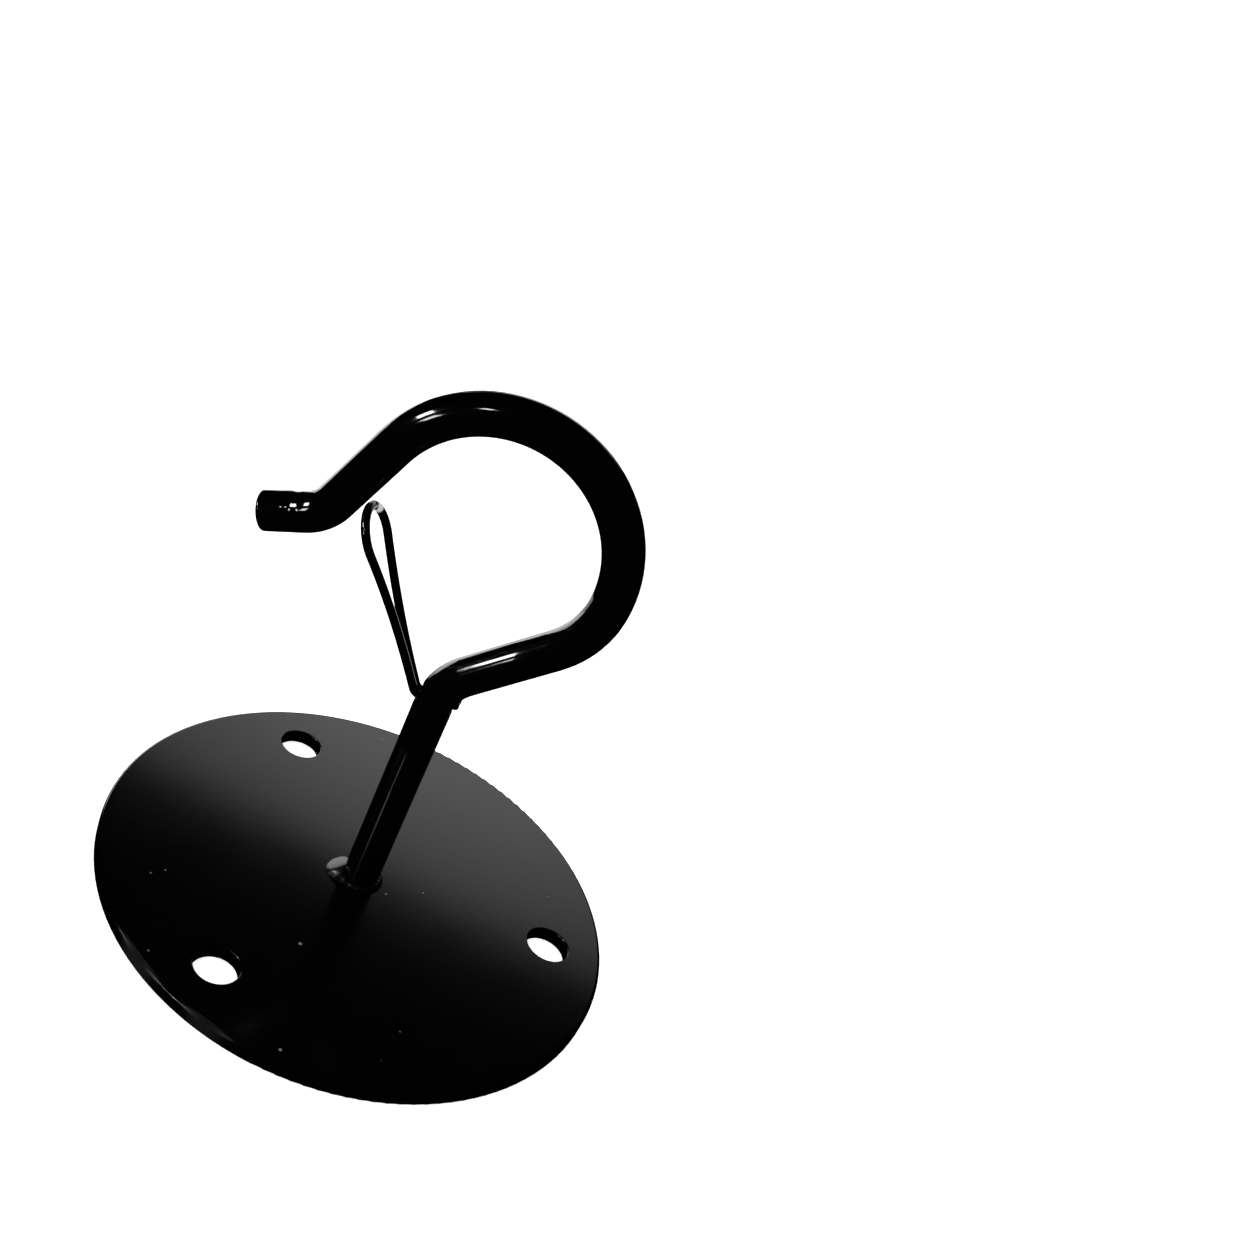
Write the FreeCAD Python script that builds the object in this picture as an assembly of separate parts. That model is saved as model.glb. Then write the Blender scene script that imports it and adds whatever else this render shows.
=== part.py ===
import FreeCAD, Part
import math
import os

# A ceiling hook: a bent rod welded to the middle of a round plate, with a sprung wire gate across its mouth.
# Millimetres and degrees. The plate's back lies on Z = 0 round the origin, the shank stands up along +Z,
# and the rod is bent in the XZ plane with its mouth towards -X.

# Mounting plate
plate_diameter = 70.0
plate_thickness = 2.0
plate_front_edge_radius = 0.5
plate_back_edge_radius = 0.2
screw_circle_diameter = 54.5
screw_hole_diameter = 5.9
screw_hole_count = 3
screw_hole_edge_radius = 0.2
first_hole_angle = 8.2           # from +X, the side of the hook's arm, towards +Y

# Hook rod, in the order in which it is bent from its foot to its tip
rod_diameter = 4.9               # 3/16 in steel and its coat
shank_length = 30.0              # straight, from the plate's front face
neck_radius = 7.8
neck_angle = 45.0                # turns the rod away from the mouth
arm_length = 11.6
shoulder_radius = 11.8
shoulder_angle = 43.0
crown_radius = 15.3
crown_angle = 157.0
nose_length = 10.0               # straight stretch that the gate closes against
tip_bend_radius = 6.1
tip_bend_angle = 41.4            # turns the tip outwards
tip_length = 5.3
tip_edge_radius = 0.4

# Weld bead, a ring of overlapping puddles that is fuller on one side
bead_mean_reach = 1.5            # from the rod's surface
bead_swell = 0.6                 # added on the full side and lost on the other
bead_full_side_angle = 170.0     # from +X towards +Y
bead_sink = 0.3                  # centres of the puddles below the plate's front face
bead_puddle_count = 15

# Wire gate: one length of wire whose two legs lie side by side in a cross hole through the neck
wire_diameter = 1.1
leg_gap = 0.1                    # between the legs where they run together
gate_end_radius = 3.55           # middle line of the wire's round end
gate_root_radius = 1.1           # middle line of the bend where the legs leave the neck
gate_root_run = 0.4              # straight stretch above that bend
gate_root_reach = 0.3            # corner of that bend, out from the rod's surface
gate_tail = 0.5                  # wire ends standing out behind the neck
gate_tail_edge_radius = 0.4
gate_seat = 2.6                  # from the tip's bend back to where the gate rests on the nose
gate_rest_gap = 0.1              # between the gate and the nose
gate_swing = 18.0                # inward travel
gate_hole_rise = 1.1             # height of the cross hole above the start of the neck's bend
gate_hole_clearance = 0.1        # round the legs at both ends of the swing

# Sizes that follow from these
rod_radius = rod_diameter / 2
wire_radius = wire_diameter / 2
leg_offset = wire_radius + leg_gap / 2
rest_tilt = math.radians(gate_swing / 2)
hole_height = plate_thickness + shank_length + gate_hole_rise
hinge_x = neck_radius - math.sqrt(neck_radius ** 2 - gate_hole_rise ** 2)
legs_at_mouth = math.hypot(leg_offset, rod_radius * math.tan(rest_tilt))
gate_hole_radius = legs_at_mouth + wire_radius / math.cos(rest_tilt) + gate_hole_clearance

up = FreeCAD.Vector(0, 0, 1)
across = FreeCAD.Vector(0, 1, 0)
rightwards = FreeCAD.Vector(1, 0, 0)
same_place = 1e-6                # two lengths closer than this are one


def heading(angle):
    """Unit vector in the hook's plane, with the angle in radians from +X towards +Z."""
    return FreeCAD.Vector(math.cos(angle), 0, math.sin(angle))


def bent_line(start, first_angle, steps):
    """Chain of straight runs (length,) and bends (radius, degrees) in the hook's plane; plus turns left."""
    edges = []
    point = start
    angle = math.radians(first_angle)
    for step in steps:
        if len(step) == 1:
            end = point + heading(angle) * step[0]
            edges.append(Part.LineSegment(point, end).toShape())
        else:
            turn = math.radians(step[1])
            spoke = math.copysign(math.pi / 2, turn)
            centre = point + heading(angle + spoke) * step[0]
            middle = centre - heading(angle + turn / 2 + spoke) * step[0]
            end = centre - heading(angle + turn + spoke) * step[0]
            edges.append(Part.Arc(point, middle, end).toShape())
            angle += turn
        point = end
    return edges


def round_bar(path, diameter):
    """Bar of round section along a chain of tangent straight and circular edges."""
    lengths = []
    for edge in path:
        start = edge.valueAt(edge.FirstParameter)
        ahead = edge.tangentAt(edge.FirstParameter)
        section = Part.Face(Part.Wire(Part.makeCircle(diameter / 2, start, ahead)))
        if isinstance(edge.Curve, Part.Circle):
            turn = math.degrees(edge.Length / edge.Curve.Radius)
            lengths.append(section.revolve(edge.Curve.Center, edge.Curve.Axis, turn))
        else:
            lengths.append(section.extrude(ahead * edge.Length))
    return lengths[0].multiFuse(lengths[1:]).removeSplitter()


def with_round_rims(plate, rim_diameter, height, round_radius):
    """Plate with its circular edges of one diameter and height rounded."""
    rims = []
    for edge in plate.Edges:
        if isinstance(edge.Curve, Part.Circle):
            right_size = abs(2 * edge.Curve.Radius - rim_diameter) < same_place
            right_height = abs(edge.Curve.Center.z - height) < same_place
            if right_size and right_height:
                rims.append(edge)
    return plate.makeFillet(round_radius, rims)


def with_round_ends(bar, ends, round_radius):
    """Bar with the rims of its cut ends rounded."""
    rims = []
    for edge in bar.Edges:
        if isinstance(edge.Curve, Part.Circle):
            if min((edge.Curve.Center - end).Length for end in ends) < same_place:
                rims.append(edge)
    return bar.makeFillet(round_radius, rims)


def base_plate():
    """Round stamping with plain screw holes and rounded edges."""
    plate = Part.makeCylinder(plate_diameter / 2, plate_thickness)
    for number in range(screw_hole_count):
        angle = math.radians(first_hole_angle + number * 360 / screw_hole_count)
        place = FreeCAD.Vector(math.cos(angle), math.sin(angle), 0) * (screw_circle_diameter / 2)
        plate = plate.cut(Part.makeCylinder(screw_hole_diameter / 2, plate_thickness, place))
    plate = with_round_rims(plate, plate_diameter, plate_thickness, plate_front_edge_radius)
    plate = with_round_rims(plate, plate_diameter, 0, plate_back_edge_radius)
    return with_round_rims(plate, screw_hole_diameter, plate_thickness, screw_hole_edge_radius)


def hook_line():
    """Middle line of the rod, from the plate's front face to the tip."""
    return bent_line(up * plate_thickness, 90, [
        (shank_length,),
        (neck_radius, -neck_angle),
        (arm_length,),
        (shoulder_radius, shoulder_angle),
        (crown_radius, crown_angle),
        (nose_length,),
        (tip_bend_radius, -tip_bend_angle),
        (tip_length,),
    ])


def hook_rod(line):
    """Bent rod with a square-cut, rounded tip and the gate's cross hole through its neck."""
    tip_end = line[-1].valueAt(line[-1].LastParameter)
    rod = with_round_ends(round_bar(line, rod_diameter), [tip_end], tip_edge_radius)
    hole_start = FreeCAD.Vector(hinge_x - rod_diameter, 0, hole_height)
    return rod.cut(Part.makeCylinder(gate_hole_radius, 2 * rod_diameter, hole_start, rightwards))


def weld_bead():
    """Ring of overlapping puddles in the corner between the plate and the rod."""
    puddles = []
    for number in range(bead_puddle_count):
        angle = 2 * math.pi * number / bead_puddle_count
        place = FreeCAD.Vector(math.cos(angle), math.sin(angle), 0) * rod_radius
        fullness = math.cos(angle - math.radians(bead_full_side_angle))
        puddles.append(Part.makeSphere(bead_mean_reach + bead_swell * fullness,
                                       place + up * (plate_thickness - bead_sink)))
    bead = puddles[0].multiFuse(puddles[1:])
    above_plate = Part.makeCylinder(plate_diameter / 2, shank_length, up * plate_thickness)
    bead = bead.common(above_plate)
    return bead.cut(Part.makeCylinder(rod_radius, plate_thickness + shank_length)).removeSplitter()


def gate_line(nose):
    """Middle line of the gate's wire: its leg on -Y from the tail on, its round end and its leg on +Y."""
    hinge = FreeCAD.Vector(hinge_x, 0, hole_height)
    inward = heading(math.pi + rest_tilt)
    corner = hinge + inward * (rod_radius + gate_root_reach)

    # The closed end rests on the inner side of the nose
    nose_end = nose.valueAt(nose.LastParameter)
    nose_ahead = nose.tangentAt(nose.LastParameter)
    nose_inside = across.cross(nose_ahead) * -1
    closed_end = (nose_end - nose_ahead * gate_seat
                  + nose_inside * (rod_radius + wire_radius + gate_rest_gap))

    along = (closed_end - corner).normalize()
    root_turn = inward.getAngle(along)
    root_tangent = gate_root_radius * math.tan(root_turn / 2)
    root_sagitta = gate_root_radius * (1 / math.cos(root_turn / 2) - 1)
    root_middle = corner + (along - inward).normalize() * root_sagitta

    # Each leg bows out on one arc that meets the round end's arc
    end_centre = closed_end - along * gate_end_radius
    leg_start = corner + along * (root_tangent + gate_root_run)
    leg_span = (end_centre - leg_start).Length
    leg_radius = (leg_span ** 2 / (gate_end_radius - leg_offset) - gate_end_radius - leg_offset) / 2
    spread = math.asin(leg_span / (leg_radius + gate_end_radius))

    def leg_point(side, angle):
        aside = leg_offset + leg_radius * (1 - math.cos(angle))
        return leg_start + along * (leg_radius * math.sin(angle)) + across * (side * aside)

    def leg(side):
        offset = across * (side * leg_offset)
        tail = hinge - inward * (rod_radius + gate_tail) + offset
        bend_start = corner - inward * root_tangent + offset
        bend_end = corner + along * root_tangent + offset
        return [
            Part.LineSegment(tail, bend_start).toShape(),
            Part.Arc(bend_start, root_middle + offset, bend_end).toShape(),
            Part.LineSegment(bend_end, leg_start + offset).toShape(),
            Part.Arc(leg_start + offset, leg_point(side, spread / 2), leg_point(side, spread)).toShape(),
        ]

    round_end = Part.Arc(leg_point(-1, spread), closed_end, leg_point(1, spread)).toShape()
    return leg(-1), [round_end], leg(1)


def wire_gate(nose):
    """Hairpin of spring wire that closes against the hook's nose, with rounded tails."""
    near_leg, round_end, far_leg = gate_line(nose)
    tails = [leg[0].valueAt(leg[0].FirstParameter) for leg in (near_leg, far_leg)]
    return with_round_ends(round_bar(near_leg + round_end + far_leg, wire_diameter), tails, gate_tail_edge_radius)


os.makedirs("parts", exist_ok=True)
rod_line = hook_line()
shank, neck, arm, shoulder, crown, nose, tip_bend, tip = rod_line
base_plate().exportStep("parts/base_plate.step")
hook_rod(rod_line).exportStep("parts/hook_rod.step")
weld_bead().exportStep("parts/weld_bead.step")
wire_gate(nose).exportStep("parts/wire_gate.step")
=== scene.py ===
import math
import bpy
import numpy as np
from mathutils import Matrix, Vector


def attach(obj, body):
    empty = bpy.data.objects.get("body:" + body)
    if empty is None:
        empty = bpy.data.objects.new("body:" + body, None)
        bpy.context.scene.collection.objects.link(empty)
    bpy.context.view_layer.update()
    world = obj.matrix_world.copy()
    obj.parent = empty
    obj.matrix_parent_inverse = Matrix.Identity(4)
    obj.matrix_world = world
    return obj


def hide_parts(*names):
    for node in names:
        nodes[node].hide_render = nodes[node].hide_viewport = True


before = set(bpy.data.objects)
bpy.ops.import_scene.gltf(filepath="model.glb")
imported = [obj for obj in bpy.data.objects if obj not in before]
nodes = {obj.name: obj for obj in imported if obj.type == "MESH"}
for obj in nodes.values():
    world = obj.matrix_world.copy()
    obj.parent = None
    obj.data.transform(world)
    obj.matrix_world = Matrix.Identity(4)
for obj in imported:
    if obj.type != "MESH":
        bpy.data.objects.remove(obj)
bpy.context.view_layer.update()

# Ceiling hook: bent rod welded to a round plate, with a sprung wire gate across its mouth.
# Shapes are worked out in millimetres on the part's own axes and stored in metres.
mm = 0.001
print("frame loaded:", ", ".join(sorted(nodes)))


# Numpy helpers

def hump(angle, middle, width):  # bell curve round a circle, 1 at the middle, angles in degrees
    away = (angle - middle + 180.0) % 360.0 - 180.0
    return np.exp(-(away / width) ** 2)


def ringMesh(name, grid):
    # grid is (around, across, 3) in mm, and its quads wrap both ways, so the surface closes on itself
    around, across = grid.shape[:2]
    i, j = np.meshgrid(np.arange(around), np.arange(across), indexing="ij")
    nextI, nextJ = (i + 1) % around, (j + 1) % across
    corners = [i * across + j, nextI * across + j, nextI * across + nextJ, i * across + nextJ]
    quads = np.stack(corners, axis=-1)
    mesh = bpy.data.meshes.new(name)
    mesh.from_pydata((grid.reshape(-1, 3) * mm).tolist(), [], quads.reshape(-1, 4).tolist())
    mesh.polygons.foreach_set("use_smooth", np.ones(len(mesh.polygons), dtype=bool))
    mesh.update()
    piece = bpy.data.objects.new(name, mesh)
    bpy.context.scene.collection.objects.link(piece)
    return piece


# Shader node groups

def newGroup(name, inputs, outputs):
    group = bpy.data.node_groups.new(name, "ShaderNodeTree")
    for label, kind, value in inputs:
        socket = group.interface.new_socket(label, in_out="INPUT", socket_type=kind)
        socket.default_value = value
    for label, kind in outputs:
        group.interface.new_socket(label, in_out="OUTPUT", socket_type=kind)
    ins = group.nodes.new("NodeGroupInput")
    outs = group.nodes.new("NodeGroupOutput")
    return group, group.nodes, group.links.new, ins.outputs, outs.inputs


def mathNode(tree, operation, *values):
    node = tree.nodes.new("ShaderNodeMath")
    node.operation = operation
    for socket, value in zip(node.inputs, values):
        if isinstance(value, (int, float)):
            socket.default_value = value
        else:
            tree.links.new(value, socket)
    return node.outputs[0]


def rangeNode(tree, value, fromLow, fromHigh, toLow, toHigh, kind):
    node = tree.nodes.new("ShaderNodeMapRange")
    node.interpolation_type = kind
    limits = {"From Min": fromLow, "From Max": fromHigh, "To Min": toLow, "To Max": toHigh}
    for label, number in limits.items():
        node.inputs[label].default_value = number
    tree.links.new(value, node.inputs["Value"])
    return node.outputs["Result"]


def coatRippleGroup():
    # Height of a coat that flowed out unevenly: broad swells, the orange peel on them and fine grain
    group, add, link, ins, outs = newGroup(
        "coatRipple",
        [("Peel Scale", "NodeSocketFloat", 700.0), ("Swell Scale", "NodeSocketFloat", 160.0),
         ("Swell Share", "NodeSocketFloat", 0.5), ("Grain Share", "NodeSocketFloat", 0.06)],
        [("Height", "NodeSocketFloat"), ("Mottle", "NodeSocketFloat")])
    grainFineness = 5.0  # times finer than the peel
    peel, swell, grain = [add.new("ShaderNodeTexNoise") for layer in range(3)]
    place = add.new("ShaderNodeTexCoord").outputs["Object"]
    for noise, detail in ((peel, 1.0), (swell, 0.0), (grain, 2.0)):
        noise.inputs["Detail"].default_value = detail
        link(place, noise.inputs["Vector"])
    link(ins["Peel Scale"], peel.inputs["Scale"])
    link(ins["Swell Scale"], swell.inputs["Scale"])
    link(mathNode(group, "MULTIPLY", ins["Peel Scale"], grainFineness), grain.inputs["Scale"])
    broad = mathNode(group, "MULTIPLY", swell.outputs["Fac"], ins["Swell Share"])
    fine = mathNode(group, "MULTIPLY", grain.outputs["Fac"], ins["Grain Share"])
    coarse = mathNode(group, "ADD", peel.outputs["Fac"], broad)
    link(mathNode(group, "ADD", coarse, fine), outs["Height"])
    link(swell.outputs["Fac"], outs["Mottle"])
    return group


def dustGroup():
    # Mask of a few dust specks: small spots about some of a cell pattern's points, picked by the red of
    # the cell's own colour and sized by its green
    group, add, link, ins, outs = newGroup(
        "dustSpecks",
        [("Cell Scale", "NodeSocketFloat", 250.0), ("Speck Size", "NodeSocketFloat", 0.055),
         ("Chance", "NodeSocketFloat", 0.5)],
        [("Mask", "NodeSocketFloat")])
    leastSize = 0.4  # share of the speck size that the smallest one has
    steepness = 2.0  # the mask is full over the inner half of a speck
    place = add.new("ShaderNodeTexCoord").outputs["Object"]
    cells = add.new("ShaderNodeTexVoronoi")
    link(place, cells.inputs["Vector"])
    link(ins["Cell Scale"], cells.inputs["Scale"])
    parts = add.new("ShaderNodeSeparateColor")
    link(cells.outputs["Color"], parts.inputs["Color"])
    picked = mathNode(group, "LESS_THAN", parts.outputs["Red"], ins["Chance"])
    size = mathNode(group, "ADD", parts.outputs["Green"], leastSize)
    reach = mathNode(group, "MULTIPLY", ins["Speck Size"], size)
    near = mathNode(group, "SUBTRACT", 1.0, mathNode(group, "DIVIDE", cells.outputs["Distance"], reach))
    near = mathNode(group, "MAXIMUM", mathNode(group, "MULTIPLY", near, steepness), 0.0)
    near = mathNode(group, "MINIMUM", near, 1.0)
    link(mathNode(group, "MULTIPLY", near, picked), outs["Mask"])
    return group


def spotGroup():
    # Mask of one round spot, 1 at its centre and smoothly 0 at its radius
    group, add, link, ins, outs = newGroup(
        "roundSpot",
        [("Centre", "NodeSocketVector", (0.0, 0.0, 0.0)), ("Radius", "NodeSocketFloat", 0.001)],
        [("Mask", "NodeSocketFloat")])
    away = add.new("ShaderNodeVectorMath")
    away.operation = "DISTANCE"
    link(add.new("ShaderNodeTexCoord").outputs["Object"], away.inputs[0])
    link(ins["Centre"], away.inputs[1])
    share = mathNode(group, "DIVIDE", away.outputs["Value"], ins["Radius"])
    link(rangeNode(group, share, 0.0, 1.0, 1.0, 0.0, "SMOOTHSTEP"), outs["Mask"])
    return group


coatRipple = coatRippleGroup()
dustSpecks = dustGroup()
roundSpot = spotGroup()
print("shader groups ready")


# Materials

coatLook = {
    "black": (0.0004, 0.0004, 0.00045, 1.0),
    "dust": (0.12, 0.12, 0.12, 1.0),
    # light grey of the painted highlight on the gate's top bend
    "highlightGrey": (0.55, 0.55, 0.56, 1.0),
    "ior": 1.5,
    "roughness": 0.05,
    "mottleRoughness": 0.03,
    "rippleDepth": 0.0022,     # mm
    "peelScale": 700.0,        # ripples a metre
    "swellScale": 150.0,
    "dustChance": 0.55,        # share of the cells that hold a speck
    "dustRoughness": 0.5,
    "dents": (),               # centre, radius and depth in mm of each dent; a swelling has a depth below 0
    "grooves": (),             # centre, heading in degrees, half width and depth of each groove round the rod
    "paintedHighlight": None,              # centre and radius in mm of the spot with a painted highlight
    "paintedHighlightMottle": 0.5,         # how far the swells break up the spot's edge
    "paintedHighlightEdge": (0.6, 0.9),    # where the painted highlight starts and where it is full
    "paintedHighlightRoughness": 0.3,
    "dullRim": (),             # centre and radius in mm of each duller patch of the plate's rim
    "rimReach": (34.3, 34.7),  # mm from the middle of the plate where the rim starts and is full
    "rimRoughness": 0.85,
}
plateLook = dict(
    coatLook, roughness=0.1,
    dullRim=(((-18.5, -29.5, 1.7), 6.0), ((-7.7, -33.9, 1.7), 5.0)))
rodLook = dict(
    coatLook, rippleDepth=0.003, swellScale=220.0, dustChance=0.15,
    dents=(((10.55, -1.8, 48.53), 6.5, -0.3),),           # the arm runs softly into its bend
    grooves=(((-23.58, 0.0, 48.12), 203.6, 1.2, 0.13),    # tool mark behind the tip
             ((-27.39, 0.0, 46.45), 203.6, 4.0, -0.08)))  # and the end that it left a little fuller
weldLook = dict(
    coatLook, roughness=0.3, rippleDepth=0.05, peelScale=450.0, swellScale=500.0, dustChance=0.0)
# The gate's wire carries a painted highlight: a light grey, rougher patch on its top bend
wireLook = dict(
    coatLook, roughness=0.06, rippleDepth=0.0015, peelScale=1500.0, swellScale=400.0, dustChance=0.0,
    paintedHighlight=((-15.2, 2.2, 52.3), 1.7))


def groupNode(tree, group, **values):
    node = tree.nodes.new("ShaderNodeGroup")
    node.node_tree = group
    for label, value in values.items():
        node.inputs[label].default_value = value
    return node


def colourMix(tree, mask, first, second):
    # first is a colour or a socket, second a colour
    node = tree.nodes.new("ShaderNodeMix")
    node.data_type = "RGBA"
    a, b = [socket for socket in node.inputs if socket.type == "RGBA"]
    if isinstance(first, tuple):
        a.default_value = first
    else:
        tree.links.new(first, a)
    b.default_value = second
    tree.links.new(mask, node.inputs["Factor"])
    return next(socket for socket in node.outputs if socket.type == "RGBA")


def spotMask(tree, centre, radius):
    spot = groupNode(tree, roundSpot, Centre=[c * mm for c in centre], Radius=radius * mm)
    return spot.outputs["Mask"]


def grooveMask(tree, centre, heading, halfWidth):
    # 1 on the plane across the rod through the centre, smoothly 0 at the half width to both sides of it
    ahead = Vector((math.cos(math.radians(heading)), 0.0, math.sin(math.radians(heading))))
    along = tree.nodes.new("ShaderNodeVectorMath")
    along.operation = "DOT_PRODUCT"
    along.inputs[1].default_value = ahead
    tree.links.new(tree.nodes.new("ShaderNodeTexCoord").outputs["Object"], along.inputs[0])
    away = mathNode(tree, "SUBTRACT", along.outputs["Value"], ahead.dot(Vector(centre)) * mm)
    away = mathNode(tree, "ABSOLUTE", away)
    return rangeNode(tree, away, 0.0, halfWidth * mm, 1.0, 0.0, "SMOOTHSTEP")


def rimMask(tree, start, full):
    # 0 up to the start and 1 from full on, in mm from the shank's axis
    aside = tree.nodes.new("ShaderNodeVectorMath")
    aside.operation = "MULTIPLY"
    aside.inputs[1].default_value = (1.0, 1.0, 0.0)
    tree.links.new(tree.nodes.new("ShaderNodeTexCoord").outputs["Object"], aside.inputs[0])
    reach = tree.nodes.new("ShaderNodeVectorMath")
    reach.operation = "LENGTH"
    tree.links.new(aside.outputs["Vector"], reach.inputs[0])
    return rangeNode(tree, reach.outputs["Value"], start * mm, full * mm, 0.0, 1.0, "SMOOTHSTEP")


def glossBlack(name, look):
    # Gloss black coat: rippled surface, roughness that drifts with the swells, and, where the look has them,
    # dust, dents, grooves, dull patches of rim and a painted highlight
    material = bpy.data.materials.new(name)
    material.use_nodes = True
    tree = material.node_tree
    link = tree.links.new
    coat = tree.nodes["Principled BSDF"]
    coat.inputs["IOR"].default_value = look["ior"]
    scales = {"Peel Scale": look["peelScale"], "Swell Scale": look["swellScale"]}
    ripple = groupNode(tree, coatRipple, **scales)
    mottle = ripple.outputs["Mottle"]
    colour = look["black"]
    rough = mathNode(tree, "MULTIPLY_ADD", mottle, look["mottleRoughness"], look["roughness"])
    if look["dustChance"]:
        dust = groupNode(tree, dustSpecks, Chance=look["dustChance"]).outputs["Mask"]
        colour = colourMix(tree, dust, colour, look["dust"])
        rough = mathNode(tree, "MULTIPLY_ADD", dust, look["dustRoughness"], rough)
    height = mathNode(tree, "MULTIPLY", ripple.outputs["Height"], look["rippleDepth"] * mm)
    for centre, radius, depth in look["dents"]:
        height = mathNode(tree, "MULTIPLY_ADD", spotMask(tree, centre, radius), -depth * mm, height)
    for centre, heading, halfWidth, depth in look["grooves"]:
        groove = grooveMask(tree, centre, heading, halfWidth)
        height = mathNode(tree, "MULTIPLY_ADD", groove, -depth * mm, height)
    for centre, radius in look["dullRim"]:
        rim = rimMask(tree, *look["rimReach"])
        dull = mathNode(tree, "MULTIPLY", spotMask(tree, centre, radius), rim)
        rough = mathNode(tree, "MULTIPLY_ADD", dull, look["rimRoughness"], rough)
    if look["paintedHighlight"]:
        # painted highlight: lighter grey and rougher where the spot and the swells together are high
        highlightMask = mathNode(tree, "MULTIPLY_ADD", mottle, look["paintedHighlightMottle"], spotMask(tree, *look["paintedHighlight"]))
        highlightMask = rangeNode(tree, highlightMask, *look["paintedHighlightEdge"], 0.0, 1.0, "SMOOTHSTEP")
        colour = colourMix(tree, highlightMask, colour, look["highlightGrey"])
        rough = mathNode(tree, "MULTIPLY_ADD", highlightMask, look["paintedHighlightRoughness"], rough)
    if isinstance(colour, tuple):
        coat.inputs["Base Color"].default_value = colour
    else:
        link(colour, coat.inputs["Base Color"])
    link(rough, coat.inputs["Roughness"])
    bump = tree.nodes.new("ShaderNodeBump")
    bump.inputs["Distance"].default_value = 1.0  # the height is in metres already
    link(height, bump.inputs["Height"])
    link(bump.outputs["Normal"], coat.inputs["Normal"])
    return material


plateCoat = glossBlack("plateCoat", plateLook)
rodCoat = glossBlack("rodCoat", rodLook)
weldCoat = glossBlack("weldCoat", weldLook)
wireCoat = glossBlack("wireCoat", wireLook)
print("materials ready")


def coatNode(name, material):
    nodes[name].data.materials.clear()
    nodes[name].data.materials.append(material)


coatNode("base_plate", plateCoat)
coatNode("hook_rod", rodCoat)
coatNode("wire_gate", wireCoat)


# Weld between the rod's foot and the plate

weldFacts = {
    "rodRadius": 2.45,          # mm, like the lengths below
    "plateTop": 2.0,
    "sink": 0.3,                # reach of the bead into the rod and the plate
    "flatness": 1.0,            # 1 is an elliptical section, 2 a straight face
    "reach": (0.62, 0.16),      # out from the rod: mean, and what the side opposite the thin one gains
    "rise": (0.6, 0.14),        # up the rod, likewise
    "thinSide": 220.0,          # degrees from +X towards +Y, like the sides below
    "lump": (2.05, 2.1, 38.0),  # further out, further up, degrees wide
    "lumpSide": 188.0,
    "facetTilt": 36.0,          # degrees from level of the flat that the lump ran out to
    "facetSide": 181.0,
    "facetReach": 2.4,          # out from the rod where the flat meets the plate
    "facetSoftness": 0.4,
    "rippleCount": 19,
    "rippleHeight": 0.02,
    "rippleDrift": 1.7,         # radians by which the ripples crowd and spread, twice round the bead
    "rippleLean": 0.8,          # share of the section's own angle by which they lean
    "gridSize": (240, 128),     # points round the rod and round the section
}


def weldSkin():
    # Ring round the rod. Its section runs from the plate to the rod as a power of cosine and sine, and is cut
    # off inside both. Reach and rise are least on the thin side, swell to one lump, where the weld was
    # started, and ripple as a hand-laid bead does: the ripple is the cosine of a count of the bearing, plus a
    # drift by the sine of twice the bearing and a lean by the section's angle. What stands over the plane of
    # the lump's flat is drawn back to it, by the soft maximum of that height and 0.
    facts = weldFacts
    turn, section = [np.linspace(0.0, 360.0, count, endpoint=False) for count in facts["gridSize"]]
    turn, slope = np.meshgrid(turn, np.radians(section), indexing="ij")
    full = -np.cos(np.radians(turn - facts["thinSide"]))
    further, higher, width = facts["lump"]
    lump = hump(turn, facts["lumpSide"], width)
    bearing = np.radians(turn)
    phase = facts["rippleCount"] * bearing + facts["rippleDrift"] * np.sin(2.0 * bearing)
    ripple = facts["rippleHeight"] * np.cos(phase + facts["rippleLean"] * slope)
    reach = facts["reach"][0] + facts["reach"][1] * full + further * lump + ripple
    rise = facts["rise"][0] + facts["rise"][1] * full + higher * lump + ripple
    outShare = np.sign(np.cos(slope)) * np.abs(np.cos(slope)) ** facts["flatness"]
    upShare = np.sign(np.sin(slope)) * np.abs(np.sin(slope)) ** facts["flatness"]
    outwards = np.maximum(reach * outShare, -facts["sink"]) + facts["rodRadius"]
    upwards = np.maximum(rise * upShare, -facts["sink"]) + facts["plateTop"]
    grid = np.stack([outwards * np.cos(bearing), outwards * np.sin(bearing), upwards], axis=-1)
    tilt, side = np.radians([facts["facetTilt"], facts["facetSide"]])
    up = np.array([0.0, 0.0, 1.0])
    outward = np.array([np.cos(side), np.sin(side), 0.0])
    normal = outward * np.sin(tilt) + up * np.cos(tilt)
    edge = outward * (facts["rodRadius"] + facts["facetReach"]) + up * facts["plateTop"]
    soft = facts["facetSoftness"]
    over = soft * np.logaddexp(0.0, (grid - edge) @ normal / soft)
    grid = grid - over[..., None] * normal
    piece = ringMesh("weldSkin", grid)
    piece.data.materials.append(weldCoat)
    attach(piece, "hook")
    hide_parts("weld_bead")


weldSkin()
print("weld ready")


# Floor, backdrop and lights

white = (1.0, 1.0, 1.0, 1.0)
studio = {
    "floorSide": 6.0,                     # metres
    "floorColour": (0.93, 0.93, 0.93, 1.0),
    "floorRoughness": 0.9,
    "floorGlow": 0.55,
    "skyStrength": 1.1,
    "lightTarget": (0.0, 0.0, 45.0 * mm),
    "lightAway": 0.8,                     # metres from the target
}
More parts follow.
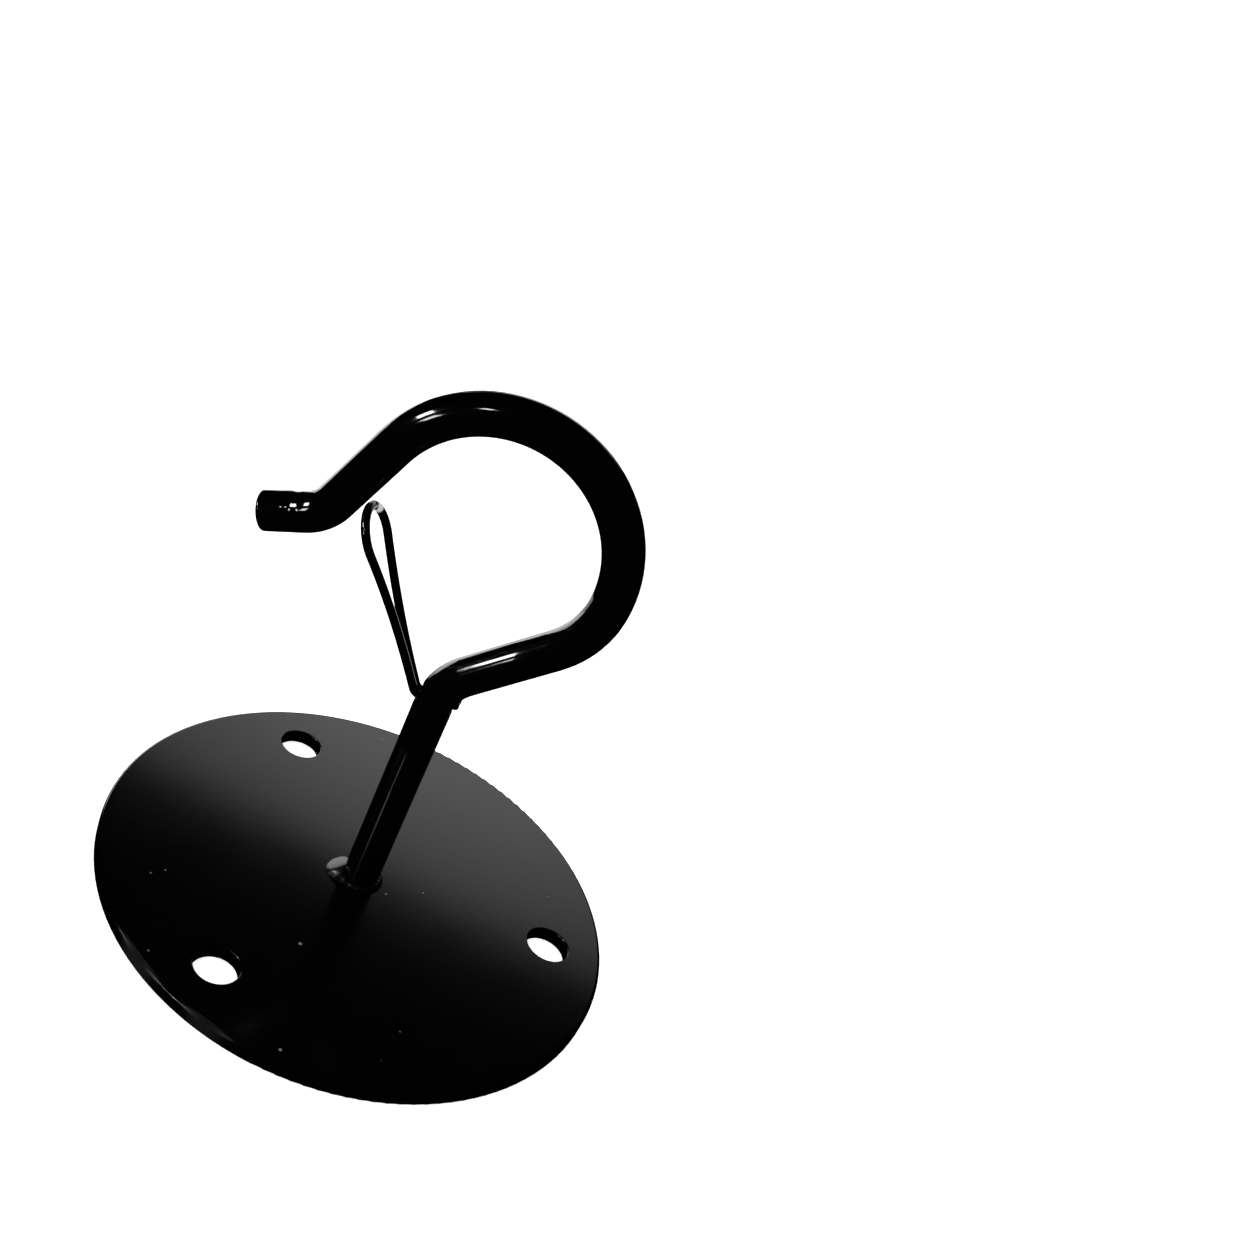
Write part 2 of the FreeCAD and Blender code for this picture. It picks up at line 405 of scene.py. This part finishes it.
# Cards that only reflections see, in metres
backCard = {
    "x": (-0.09, 0.08),
    "y": 0.15,
    "z": (0.076, 0.114, 0.138),    # lower edge, where the fading starts, where it ends
    "glow": (1.5, 0.88),           # at the lower edge and where the fading starts
    "tilt": 0.021,                 # rise of the fading for each metre to the right
    "middle": -0.015,              # brightest here, and dimmer to both sides
    "halfWidth": 0.06,
    "sideLoss": 0.2,               # lost at the half width
    "haze": 0.06,                  # faint light above the fading
    "hazeTop": 0.17,
}
sideCard = {
    "bearing": (-62.0, -22.0),     # degrees from straight away, left and right end
    "away": 0.2,
    "z": (0.004, 0.066),
    "glow": 2.8,
}
floorCard = {
    "bearing": (-62.0, 30.0),
    "bearingCount": 37,            # corners of each arc
    "away": (0.1, 0.5),            # nearer and farther arc
    "z": 0.001,
    "glow": 1.2,
}
# Lights: bearing from straight away from the viewer (plus is right), height and roll in degrees, size in
# metres and glow
lights = {
    "paneHigh": {"bearing": -116.5, "height": 22.0, "roll": -17.0, "size": (0.19, 0.11), "glow": 32.0},
    "paneLow": {"bearing": -139.5, "height": 12.0, "roll": -22.0, "size": (0.13, 0.09), "glow": 17.0},
    "farLamp": {"bearing": -150.0, "height": 33.8, "roll": 0.0, "size": (0.08, 0.06), "glow": 22.0},
}


def towards(bearing, height):  # unit vector for a bearing and a height in degrees
    b, h = math.radians(bearing), math.radians(height)
    return Vector((math.sin(b) * math.cos(h), math.cos(b) * math.cos(h), math.sin(h)))


def flatPatch(name, corners):
    # One flat face of any number of corners, in metres
    mesh = bpy.data.meshes.new(name)
    mesh.from_pydata(corners, [], [tuple(range(len(corners)))])
    mesh.update()
    piece = bpy.data.objects.new(name, mesh)
    bpy.context.scene.collection.objects.link(piece)
    return piece


def paleFloor():
    half = studio["floorSide"] / 2
    corners = [(-half, -half, 0), (half, -half, 0), (half, half, 0), (-half, half, 0)]
    floor = flatPatch("paleFloor", corners)
    material = bpy.data.materials.new("floorPaper")
    material.use_nodes = True
    paper = material.node_tree.nodes["Principled BSDF"]
    paper.inputs["Base Color"].default_value = studio["floorColour"]
    paper.inputs["Roughness"].default_value = studio["floorRoughness"]
    paper.inputs["Specular IOR Level"].default_value = 0.0
    paper.inputs["Emission Color"].default_value = white
    paper.inputs["Emission Strength"].default_value = studio["floorGlow"]
    floor.data.materials.append(material)
    floor.visible_glossy = False  # the surround is black in reflections


def glowOnlyInReflections(card, name, strength):
    # Emission that reflections alone see; the strength is a number, or a function from the tree to a socket
    material = bpy.data.materials.new(name)
    material.use_nodes = True
    tree = material.node_tree
    tree.nodes.clear()
    glow = tree.nodes.new("ShaderNodeEmission")
    if callable(strength):
        tree.links.new(strength(tree), glow.inputs["Strength"])
    else:
        glow.inputs["Strength"].default_value = strength
    output = tree.nodes.new("ShaderNodeOutputMaterial")
    tree.links.new(glow.outputs[0], output.inputs["Surface"])
    card.data.materials.append(material)
    card.visible_camera = False
    card.visible_diffuse = False
    card.visible_shadow = False


def glowBack():
    # Upright card behind the object; dimmer upwards and to its sides, then faded out to a faint haze
    facts = backCard
    (left, right), away, (low, dim, high) = facts["x"], facts["y"], facts["z"]
    top = facts["hazeTop"]
    corners = [(left, away, low), (right, away, low), (right, away, top), (left, away, top)]
    card = flatPatch("backCard", corners)

    def strength(tree):
        parts = tree.nodes.new("ShaderNodeSeparateXYZ")
        tree.links.new(tree.nodes.new("ShaderNodeTexCoord").outputs["Object"], parts.inputs[0])
        height = mathNode(tree, "MULTIPLY_ADD", parts.outputs["X"], -facts["tilt"], parts.outputs["Z"])
        slope = rangeNode(tree, height, low, dim, *facts["glow"], "LINEAR")
        fade = rangeNode(tree, height, dim, high, 1.0, 0.0, "SMOOTHSTEP")
        haze = rangeNode(tree, height, dim, top, facts["haze"], 0.0, "SMOOTHSTEP")
        aside = mathNode(tree, "SUBTRACT", parts.outputs["X"], facts["middle"])
        aside = mathNode(tree, "DIVIDE", aside, facts["halfWidth"])
        loss = mathNode(tree, "MULTIPLY", mathNode(tree, "MULTIPLY", aside, aside), -facts["sideLoss"])
        glow = mathNode(tree, "MULTIPLY_ADD", slope, fade, haze)
        return mathNode(tree, "MULTIPLY_ADD", glow, loss, glow)

    glowOnlyInReflections(card, "backGlow", strength)


def glowSide():
    # Low upright card on the left behind the object, which lights the weld and the upper edges of the rod
    left, right = [towards(bearing, 0.0) * sideCard["away"] for bearing in sideCard["bearing"]]
    low, high = [Vector((0.0, 0.0, z)) for z in sideCard["z"]]
    card = flatPatch("sideCard", [left + low, right + low, right + high, left + high])
    glowOnlyInReflections(card, "sideGlow", sideCard["glow"])


def glowFloor():
    # Bright stretch of floor behind the object, between two arcs of bearings, which softens the upper edges
    near, far = floorCard["away"]
    bearings = np.radians(np.linspace(*floorCard["bearing"], floorCard["bearingCount"]))
    arc = np.stack([np.sin(bearings), np.cos(bearings), np.zeros_like(bearings)], axis=-1)
    corners = np.concatenate([arc * near, arc[::-1] * far]) + np.array([0.0, 0.0, floorCard["z"]])
    card = flatPatch("floorCard", corners.tolist())
    glowOnlyInReflections(card, "floorCardGlow", floorCard["glow"])


def paneLight(name, facts):
    # Rectangle of light that faces the target; its power gives the same glow at any size
    lamp = bpy.data.lights.new(name, "AREA")
    lamp.shape = "RECTANGLE"
    lamp.size, lamp.size_y = facts["size"]
    lamp.energy = facts["glow"] * math.pi * lamp.size * lamp.size_y
    pane = bpy.data.objects.new(name, lamp)
    direction = towards(facts["bearing"], facts["height"])
    pane.location = Vector(studio["lightTarget"]) + direction * studio["lightAway"]
    roll = Matrix.Rotation(math.radians(facts["roll"]), 3, "Z")
    pane.rotation_euler = (direction.to_track_quat("Z", "Y").to_matrix() @ roll).to_euler()
    pane.visible_camera = False
    bpy.context.scene.collection.objects.link(pane)


def softSky():
    # Even white light on matt surfaces, which reflections don't see
    world = bpy.data.worlds.new("softSky")
    world.use_nodes = True
    sky = world.node_tree.nodes["Background"]
    sky.inputs["Color"].default_value = white
    sky.inputs["Strength"].default_value = studio["skyStrength"]
    world.cycles_visibility.glossy = False
    bpy.context.scene.world = world


paleFloor()
glowBack()
glowSide()
glowFloor()
softSky()
for lightName, lightFacts in lights.items():
    paneLight(lightName, lightFacts)
print("floor, backdrop and lights ready")


# Camera

photoView = {
    "aim": (-0.294, 0.0, 28.97),   # mm, on the lens axis
    "distance": 164.67,            # mm
    "azimuth": 3.187,              # degrees, like the next two
    "elevation": 33.669,
    "roll": 23.144,
    "lens": 38.641,                # mm
    "sensor": 36.0,
    "shift": (0.16, 0.08),         # the hook stands low and to the left in its picture
    "clip": (0.005, 50.0),         # metres
}


def viewCamera():
    lens = bpy.data.cameras.new("viewLens")
    lens.sensor_width = photoView["sensor"]
    lens.lens = photoView["lens"]
    lens.shift_x, lens.shift_y = photoView["shift"]
    lens.clip_start, lens.clip_end = photoView["clip"]
    camera = bpy.data.objects.new("viewCamera", lens)
    a, e = math.radians(photoView["azimuth"]), math.radians(photoView["elevation"])
    back = Vector((math.sin(a) * math.cos(e), -math.cos(a) * math.cos(e), math.sin(e)))
    level = back.to_track_quat("Z", "Y").to_matrix()
    roll = Matrix.Rotation(math.radians(photoView["roll"]), 3, "Z")
    camera.location = Vector(photoView["aim"]) * mm + back * photoView["distance"] * mm
    camera.rotation_euler = (level @ roll).to_euler()
    bpy.context.scene.collection.objects.link(camera)
    bpy.context.scene.camera = camera


viewCamera()
bpy.context.scene.view_settings.view_transform = "Standard"
print("camera ready")
